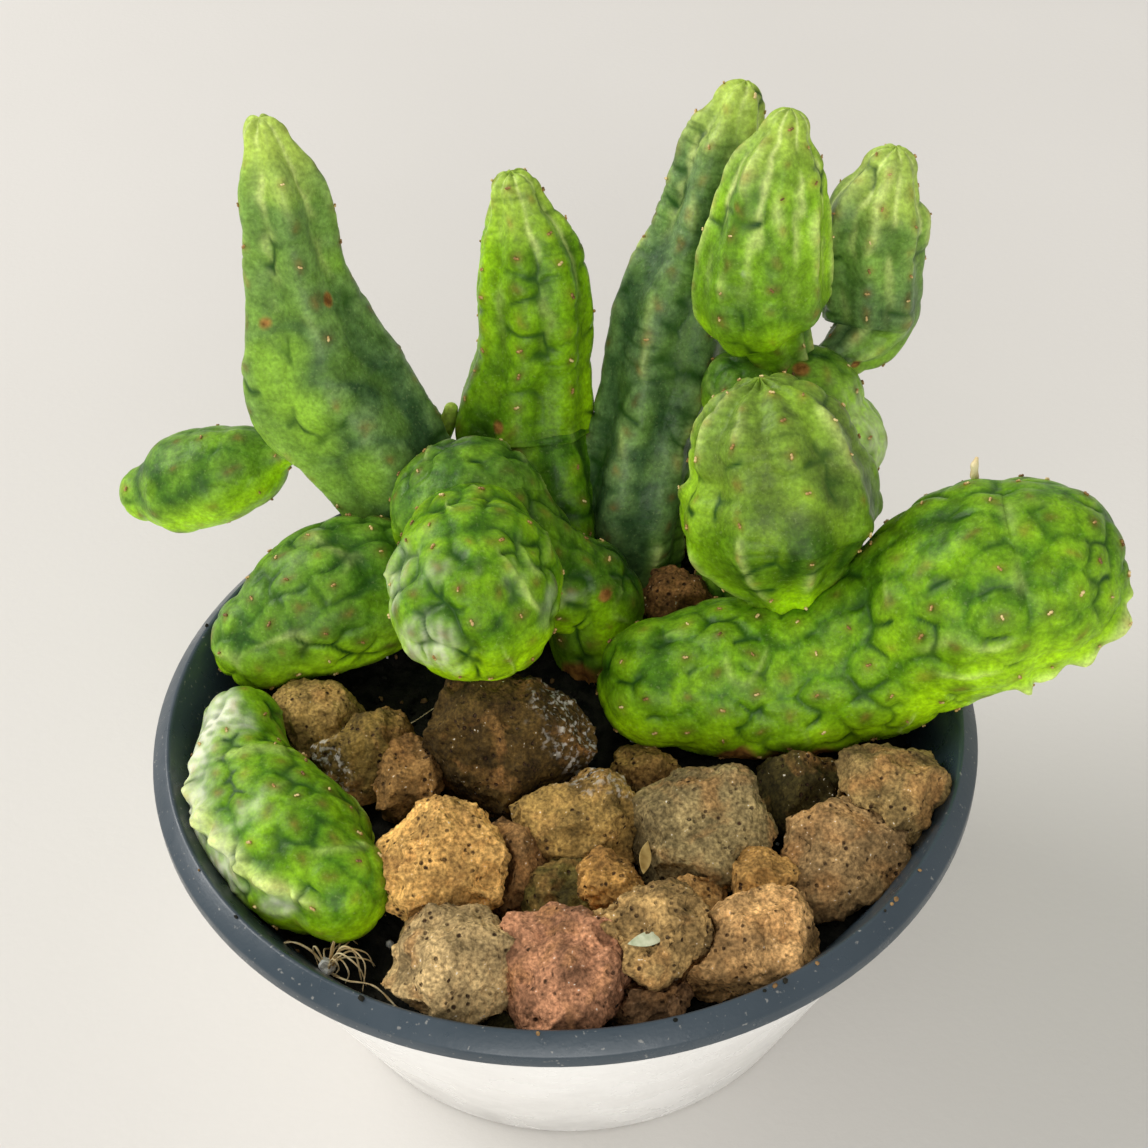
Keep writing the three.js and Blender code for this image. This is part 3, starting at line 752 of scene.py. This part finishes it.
# A dark hump and a pale bud sit between the left and the centre stem.
grow_stem("stem_back_hump", [[(-22, 50, 16, 6), (-23.5, 54, 21, 5.2), (-22.5, 56, 26.5, 3.6)]],
          "dark", pitch=4.5, mound=0.4, furrow=0.2, seed=121)
grow_stem("stem_bud", [[(-20, 55.5, 22, 1.8), (-18.3, 56, 25.5, 1.6), (-17.3, 56, 29, 1.2)]],
          "bright", pitch=0, mound=0, furrow=0, lumps=0.1, tip=0.9, seed=132, grains=False)

# Two low stems on the left: one leans on the rim, and one has fallen along the pot's wall.
grow_stem(
    "stem_left_low",
    [[(-20, 31, 8, 9), (-27, 29, 12, 11), (-35, 24, 16, 12.6), (-42, 20, 15, 11.6), (-49, 17, 12.5, 8.5)]],
    "green", pitch=5.6, mound=0.36, furrow=0.1, crease_depth=0.8, lumps=0.3, wrinkle=0.0, keep=0.5, seed=143,
    creased=0.6, ridged=0.35,
    bark=[(-24, 17, 47, 3.5)],
)
grow_stem(
    "stem_fallen",
    [[(-51, -1, 10.5, 6.5), (-50, -10, 9, 9), (-45.5, -19, 9, 10.8), (-38.5, -29, 9.5, 10.8),
      (-34, -34, 10, 8)]],
    "bright", pitch=5.2, mound=0.32, furrow=0.08, crease_depth=0.5, lumps=0.3, keep=0.5, seed=154,
    creased=0.55, ridged=0.35,
    frill=((-0.86, -0.25, 0.45), 0.12, 0.85),
    painted_highlights=[(-56.5, -4.8, 57.8, 9, 1.0), (-58.6, -10.7, 55, 9.5, 1.0), (-57.5, -19.8, 52.5, 8.5, 0.95),
          (-52, -30.2, 52.7, 7, 0.8), (-43.8, -39.5, 54, 4.5, 0.6), (-46, -26, 63, 3.5, 0.35)],
)

# ---------------------------------------------------------------- soil
# Dark peat soil fills the grow pot to about 12 mm below the rim. Its surface is crumbly, with bits of
# white perlite in it.
peat, tree, shader = new_material("dark_peat", 0.95, 0.12)
place = place_of(tree)
damp = steps(tree, grain(tree, place, 420, 5), (0.35, (0.0045, 0.006, 0.0045)), (0.68, (0.028, 0.026, 0.019)))
fleck = steps(tree, grain(tree, place, 1500, 2), (0.70, 0.0), (0.78, 0.6))
tree.links.new(over(tree, fleck, damp, (0.10, 0.085, 0.055)), shader.inputs["Base Color"])
tree.links.new(raised(tree, grain(tree, place, 900, 6), 0.0006), shader.inputs["Normal"])
perlite, tree, shader = new_material("perlite", 0.8, 0.4)
place = place_of(tree)
tree.links.new(steps(tree, grain(tree, place, 1400), (0.3, (0.52, 0.53, 0.49)), (0.7, (0.86, 0.86, 0.81))),
               shader.inputs["Base Color"])
tree.links.new(raised(tree, grain(tree, place, 2200, 3), 0.00015), shader.inputs["Normal"])
chip, tree, shader = new_material("bark_chip", 0.9, 0.2)
place = place_of(tree)
tree.links.new(steps(tree, grain(tree, place, 900, 4), (0.3, (0.10, 0.050, 0.018)),
                     (0.7, (0.36, 0.22, 0.09))),
               shader.inputs["Base Color"])
tree.links.new(raised(tree, grain(tree, place, 2200, 3), 0.00015), shader.inputs["Normal"])

bpy.ops.object.select_all(action="DESELECT")
bpy.ops.mesh.primitive_grid_add(x_subdivisions=210, y_subdivisions=210, size=2)
soil = bpy.context.object
select_only(soil)
bpy.ops.object.mode_set(mode="EDIT")
bpy.ops.mesh.select_all(action="SELECT")
bpy.ops.mesh.region_to_loop()
bpy.ops.mesh.extrude_region_move(TRANSFORM_OT_translate={"value": (0, 0, -0.1)})
bpy.ops.mesh.extrude_region_move(TRANSFORM_OT_translate={"value": (0, 0, -0.9)})
bpy.ops.mesh.edge_face_add()
bpy.ops.mesh.select_all(action="SELECT")
bpy.ops.mesh.normals_make_consistent(inside=False)
bpy.ops.object.mode_set(mode="OBJECT")
flat = np.array([v.co for v in soil.data.vertices], float)
x, y = flat[:, 0], flat[:, 1]
disc = np.stack([x * np.sqrt(1 - y * y / 2), y * np.sqrt(1 - x * x / 2)], 1)
surface = np.zeros_like(flat)
surface[:, :2] = disc * 57.6
surface[:, 2] = 43.3 + 0.55 * ripple(surface, 13, 201) + 0.30 * ripple(surface, 4.5, 202)
surface[:, 2] += 0.28 * np.abs(ripple(surface, 1.9, 203)) + 0.16 * ripple(surface, 1.1, 204)
middle = flat[:, 2] < -0.05
surface[middle, :2] = disc[middle] * 57.2
surface[middle, 2] = 41
bottom = flat[:, 2] < -0.5
surface[bottom, :2] = disc[bottom] * 36.4
surface[bottom, 2] = 7.4
shape(soil, surface)
soil.data.materials.append(peat)
soil.data.materials.append(perlite)
soil.data.materials.append(chip)

# The crumbs are one small angular lump, copied at many sizes and turns, and pressed into the surface.
bpy.ops.object.select_all(action="DESELECT")
bpy.ops.mesh.primitive_ico_sphere_add(subdivisions=1, radius=1)
crumb = bpy.context.object
crumb_ball = np.array([v.co for v in crumb.data.vertices])
crumb_faces = [tuple(p.vertices) for p in crumb.data.polygons]
bpy.data.objects.remove(crumb, do_unlink=True)


def strewn(name, places, sizes, materials, finish, random):
    """Many crumbs in one mesh: each is turned, squashed and given its own size and finish."""
    corners, faces, picks = [], [], []
    for number, (place, size) in enumerate(zip(places, sizes)):
        spin = Matrix.Rotation(random.uniform(0, 6.28), 3, Vector(random.normal(size=3)).normalized())
        lump = crumb_ball * random.uniform(0.55, 1.0, 3) * random.uniform(0.85, 1.15, (len(crumb_ball), 1))
        faces += [tuple(i + number * len(crumb_ball) for i in face) for face in crumb_faces]
        picks += [finish[number]] * len(crumb_faces)
        corners.append(lump @ np.array(spin) * size + place)
    mesh = bpy.data.meshes.new(name)
    mesh.from_pydata((np.concatenate(corners) * MM).tolist(), [], faces)
    for material in materials:
        mesh.materials.append(material)
    mesh.polygons.foreach_set("material_index", picks)
    piece = bpy.data.objects.new(name, mesh)
    bpy.context.collection.objects.link(piece)
    return piece


random = np.random.default_rng(205)
count = 1500
bearing = random.uniform(0, 2 * math.pi, count)
reach = 56.5 * np.sqrt(random.uniform(0, 1, count))
spots = np.stack([reach * np.cos(bearing), reach * np.sin(bearing), np.full(count, 43.7)], 1)
sizes = random.uniform(0.25, 0.85, count) ** 1.4 + 0.12
finish = random.choice([0, 1, 2], count, p=[0.84, 0.05, 0.11])
on_rim = np.radians([-37, -43, -44, -45.5, -58, -63, -64.5, -66, -78, -95, -118, -140, -150, 160])
rim_spots = np.stack([62.7 * np.cos(on_rim), 62.7 * np.sin(on_rim), np.full(len(on_rim), 55.0)], 1)
spots = np.concatenate([spots, rim_spots])
sizes = np.concatenate([sizes, random.uniform(0.22, 0.62, len(on_rim))])
finish = np.concatenate([finish, random.choice([0, 2], len(on_rim))])
crumbs = strewn("soil_crumbs", spots, sizes, (peat, perlite, chip), finish.tolist(), random)
select_only(soil)
crumbs.select_set(True)
bpy.ops.object.join()
for face in soil.data.polygons:
    face.use_smooth = True
settle(soil, "peat_soil", "soil", "soil")

# ---------------------------------------------------------------- lava stones
# Broken lava dresses the soil: light, angular lumps with a granular, pitted skin, from tan through
# brown to dull red, with a few white mineral specks. Each has its own colour.
lava, tree, shader = new_material("lava", 0.9, 0.18)
place = place_of(tree)
reader = tree.nodes.new("ShaderNodeAttribute")
reader.attribute_name = "stone_colour"
ground = steps(tree, grain(tree, place, 210, 5), (0.30, 0.42), (0.50, 0.95), (0.70, 1.6))
stone = over(tree, 1.0, reader.outputs["Color"], ground, "MULTIPLY")
ochre = steps(tree, grain(tree, place, 130, 3, 0.8), (0.52, 0.0), (0.68, 0.42))
stone = over(tree, ochre, stone, (0.44, 0.21, 0.065))
sand = steps(tree, grain(tree, place, 1700, 5), (0.32, 0.42), (0.50, 0.95), (0.68, 1.6))
stone = over(tree, 0.9, stone, sand, "MULTIPLY")
pits = tree.nodes.new("ShaderNodeTexVoronoi")
pits.inputs["Scale"].default_value = 820
tree.links.new(place, pits.inputs["Vector"])
sparse = steps(tree, grain(tree, place, 330, 2), (0.48, 0.0), (0.60, 1.0))
# Pits are painted near-black: painted shade in their depth.
hole = steps(tree, pits.outputs["Distance"], (0.14, 1.0), (0.30, 0.0))
holes = over(tree, 1.0, hole, sparse, "MULTIPLY")
stone = over(tree, holes, stone, (0.045, 0.022, 0.010))
spark = steps(tree, grain(tree, place, 1700, 1), (0.74, 0.0), (0.79, 0.85))
stone = over(tree, spark, stone, (0.78, 0.72, 0.60))
crumbly = steps(tree, grain(tree, place, 1000, 6), (0.52, 0.0), (0.62, 0.75))
crust = over(tree, 1.0, crumbly, reader.outputs["Alpha"], "MULTIPLY")
stone = over(tree, crust, stone, (0.70, 0.67, 0.60))
tree.links.new(stone, shader.inputs["Base Color"])
tree.links.new(steps(tree, spark, (0.0, 0.92), (1.0, 0.35)), shader.inputs["Roughness"])
rough = raised(tree, grain(tree, place, 900, 7), 0.0006)
sunk = tree.nodes.new("ShaderNodeBump")
sunk.invert = True
sunk.inputs["Distance"].default_value = 0.0005
tree.links.new(holes, sunk.inputs["Height"])
tree.links.new(rough, sunk.inputs["Normal"])
tree.links.new(sunk.outputs["Normal"], shader.inputs["Normal"])


def worn(name, kind, size):
    texture = bpy.data.textures.new(name, kind)
    texture.noise_scale = size
    return texture


broken = worn("broken", "CLOUDS", 0.0042)
crusty = worn("crusty", "CLOUDS", 0.0011)
pocked = worn("pocked", "VORONOI", 0.0016)
stone_colours = [
    0xa6884f, 0x766133, 0x8d6b3f, 0x4b3b1f, 0x967944, 0x86754f, 0xd6a761, 0x86653f, 0xae9467, 0xa77758,
    0x5d532c, 0x9f7741, 0x9b7e50, 0xac844e, 0xb58a4e, 0xc39964, 0x8e734d, 0x846e45, 0x443c20, 0x987553,
    0x7d5a36, 0x85613a, 0x9d7c46, 0x423c23, 0x806842, 0x7b5d37, 0x876d47, 0x77603a,
]
pitted = (7, 12, 13, 16)
crusted = {2: (-1, -0.6, 0.1), 4: (1, 0.1, 0.45), 5: (0.3, 0.6, 0.7)}
for number, colour in enumerate(stone_colours, 1):
    node = f"lava_stone_{number:02d}"
    stone_piece = bpy.data.objects.new(f"broken_{node}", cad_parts[node].data.copy())
    bpy.context.collection.objects.link(stone_piece)
    stone_piece.data.materials.clear()
    select_only(stone_piece)
    bpy.ops.object.mode_set(mode="EDIT")
    bpy.ops.mesh.select_all(action="SELECT")
    bpy.ops.mesh.remove_doubles(threshold=1e-6)
    bpy.ops.object.mode_set(mode="OBJECT")
    bpy.ops.object.modifier_add(type="REMESH")
    stone_piece.modifiers[-1].mode = "VOXEL"
    stone_piece.modifiers[-1].voxel_size = 0.00040
    bpy.ops.object.modifier_apply(modifier=stone_piece.modifiers[-1].name)
    # The lump is broken back to a few flat faces, then chipped by hollows that leave sharp lips.
    random = np.random.default_rng(400 + number)
    lump = np.array([v.co for v in stone_piece.data.vertices]) / MM
    middle = lump.mean(0)
    ray = (lump - middle) / np.linalg.norm(lump - middle, axis=1)[:, None]
    ragged = 1.25 - 1.3 * np.abs(ripple(lump, 11, 500 + number))
    ragged -= 0.55 * np.abs(ripple(lump, 4.5, 600 + number))
    lump = middle + (lump - middle) * 1.06 + ray * ragged[:, None]
    for _ in range(9):
        facing = random.normal(size=3)
        facing /= np.linalg.norm(facing)
        depth = (lump - middle) @ facing
        proud = np.maximum(depth - depth.max() * random.uniform(0.72, 0.92), 0)
        lump -= 0.95 * proud[:, None] * facing
    size = np.abs(lump - middle).max()
    for _ in range(7):
        centre = lump[random.integers(len(lump))]
        reach = size * random.uniform(0.16, 0.42)
        away = (centre - middle) / np.linalg.norm(centre - middle)
        centre = centre + away * reach * random.uniform(0.62, 0.85)
        away = lump - centre
        gap = np.linalg.norm(away, axis=1)
        inside = gap < reach
        lump[inside] = centre + away[inside] / gap[inside, None] * reach
    shape(stone_piece, lump)
    deep_pits = 0.0009 if number in pitted else 0.00035
    for texture, strength in ((broken, 0.0013), (crusty, 0.0010), (pocked, deep_pits)):
        bpy.ops.object.modifier_add(type="DISPLACE")
        wear = stone_piece.modifiers[-1]
        wear.texture = texture
        wear.strength = strength
        wear.mid_level = 0.55
        bpy.ops.object.modifier_apply(modifier=wear.name)
    tint = [((colour >> shift & 255) / 255) ** 2.2 for shift in (16, 8, 0)]
    layer = stone_piece.data.color_attributes.new("stone_colour", "FLOAT_COLOR", "POINT")
    lump = np.array([v.co for v in stone_piece.data.vertices]) / MM
    facing = np.array(crusted.get(number, (0, 0, -1)), float)
    facing /= np.linalg.norm(facing)
    ray = (lump - middle) / np.linalg.norm(lump - middle, axis=1)[:, None]
    coated = 0.85 * ease(ray @ facing + 0.12 * ripple(lump, 3.5, 700 + number), 0.62, 0.95)
    tints = np.column_stack([np.tile(tint, (len(lump), 1)), coated])
    layer.data.foreach_set("color", tints.astype(np.float32).ravel())
    for face in stone_piece.data.polygons:
        face.use_smooth = True
    settle(stone_piece, f"broken_{node}", node, "lava", lava)

# ---------------------------------------------------------------- surface roots
# A wiry tangle of dry roots has come up at the foot of the fallen stem. All leave one pale knot.
root_routes = [
    [(-36, -42.5, 44.2, 0.42), (-38, -41, 47, 0.36), (-41, -39.5, 47.6, 0.3), (-44.5, -38, 44.6, 0.2)],
    [(-36, -42.5, 44.2, 0.42), (-35, -43.5, 47.5, 0.36), (-32, -42, 48, 0.3), (-31, -44.5, 44.2, 0.22)],
    [(-36, -42.5, 44.2, 0.4), (-33, -45, 45.2, 0.34), (-29, -46.5, 45.6, 0.28), (-25.5, -49.5, 44, 0.18)],
    [(-36, -42.5, 44.2, 0.4), (-38, -43.5, 45.6, 0.34), (-41, -42.5, 45.2, 0.28), (-43.5, -40.5, 43.9, 0.2)],
    [(-36, -42.5, 44.2, 0.4), (-36.5, -40.5, 46.4, 0.3), (-36, -38.5, 44.5, 0.2)],
    [(-35, -42, 44.4, 0.18), (-33.5, -39, 49, 0.15), (-31.5, -36.5, 53.5, 0.12), (-30.8, -35, 56, 0.08)],
    [(-37, -43, 44.4, 0.18), (-37.5, -46, 45.4, 0.14), (-35.5, -48.5, 44.6, 0.1)],
]
random = np.random.default_rng(303)
for _ in range(11):
    bearing, reach, lift = random.uniform(0, 2 * math.pi), random.uniform(3.5, 9.0), random.uniform(1.5, 6.0)
    knot_place = np.array([-36, -42.5, 44.3])
    ahead = np.array([math.cos(bearing), math.sin(bearing), 0])
    aside = np.array([-ahead[1], ahead[0], 0]) * random.uniform(-2.5, 2.5)
    loop = [knot_place, knot_place + 0.35 * reach * ahead + aside + (0, 0, lift),
            knot_place + 0.85 * reach * ahead + 1.3 * aside + (0, 0, 0.7 * lift), knot_place + reach * ahead]
    pulls = [min(1, 56 / math.hypot(*spot[:2])) for spot in loop]
    loop = [spot * (pull, pull, 1) for spot, pull in zip(loop, pulls)]
    root_routes.append([(*spot, thick) for spot, thick in zip(loop, (0.2, 0.17, 0.14, 0.09))])
root_routes.append([(-30, 4, 44.6, 0.09), (-25, 6, 45.4, 0.1), (-20, 10, 45.6, 0.1), (-16, 12, 44.9, 0.08)])
roots = [thread([(x, y, z, 0.5 * thick if thick > 0.2 else 0.85 * thick) for x, y, z, thick in route])
         for route in root_routes]
for root in roots:
    root.data.materials.append(fibre)
bpy.ops.object.select_all(action="DESELECT")
bpy.ops.mesh.primitive_ico_sphere_add(subdivisions=3, radius=0.0012, location=(-0.036, -0.0425, 0.0455))
knot = bpy.context.object
for vertex in knot.data.vertices:
    vertex.co *= 1 + 0.25 * float(ripple(np.array([vertex.co]) / MM, 1.3, 302)[0])
knot.data.materials.append(perlite)
roots.append(knot)
select_only(roots[0])
for root in roots[1:]:
    root.select_set(True)
bpy.ops.object.join()
settle(bpy.context.object, "root_tangle", "surface_roots", "root")

# ---------------------------------------------------------------- seed husk and dry leaf
# A pale seed husk and a dry narrow leaf have fallen on the stones. Both are thin, cupped blades.


def blade(length, width, thickness, cup, curl, place, turn, tilt, name, node, slot, material):
    bpy.ops.object.select_all(action="DESELECT")
    bpy.ops.mesh.primitive_uv_sphere_add(segments=32, ring_count=20, radius=1)
    piece = bpy.context.object
    ball = np.array([v.co for v in piece.data.vertices])
    taper = np.sqrt(np.clip(1 - np.abs(ball[:, 0]) ** 1.6, 0, 1)) + 0.02
    body = np.stack([ball[:, 0] * length, ball[:, 1] * width * taper, ball[:, 2] * thickness * taper], 1)
    body[:, 2] += cup * (ball[:, 1] * taper) ** 2 + curl * ball[:, 0] ** 2
    spin = np.array(Matrix.Rotation(math.radians(turn), 3, "Z") @ Matrix.Rotation(math.radians(tilt), 3, "X"))
    shape(piece, body @ spin.T + place)
    for face in piece.data.polygons:
        face.use_smooth = True
    settle(piece, name, node, slot, material)


husk_skin, tree, shader = new_material("seed_husk_skin", 0.35, 0.5)
place = place_of(tree)
tree.links.new(steps(tree, grain(tree, place, 600, 4), (0.3, (0.26, 0.30, 0.17)), (0.7, (0.56, 0.58, 0.40))),
               shader.inputs["Base Color"])
tree.links.new(raised(tree, grain(tree, place, 1500, 3), 0.0001), shader.inputs["Normal"])
straw, tree, shader = new_material("dry_straw", 0.6, 0.4)
place = place_of(tree)
tree.links.new(steps(tree, grain(tree, place, 500, 4), (0.3, (0.34, 0.21, 0.05)), (0.7, (0.66, 0.49, 0.18))),
               shader.inputs["Base Color"])
tree.links.new(raised(tree, grain(tree, place, 1500, 3), 0.0001), shader.inputs["Normal"])
blade(2.8, 1.0, 0.35, 0.5, -0.3, (10, -50.5, 58.5), 10, 25, "pale_seed_husk", "seed_husk", "husk", husk_skin)
blade(3.2, 1.0, 0.22, 0.3, 0.4, (10.8, -31.5, 53), 80, 30, "dry_leaf_blade", "dry_leaf", "leaf", straw)
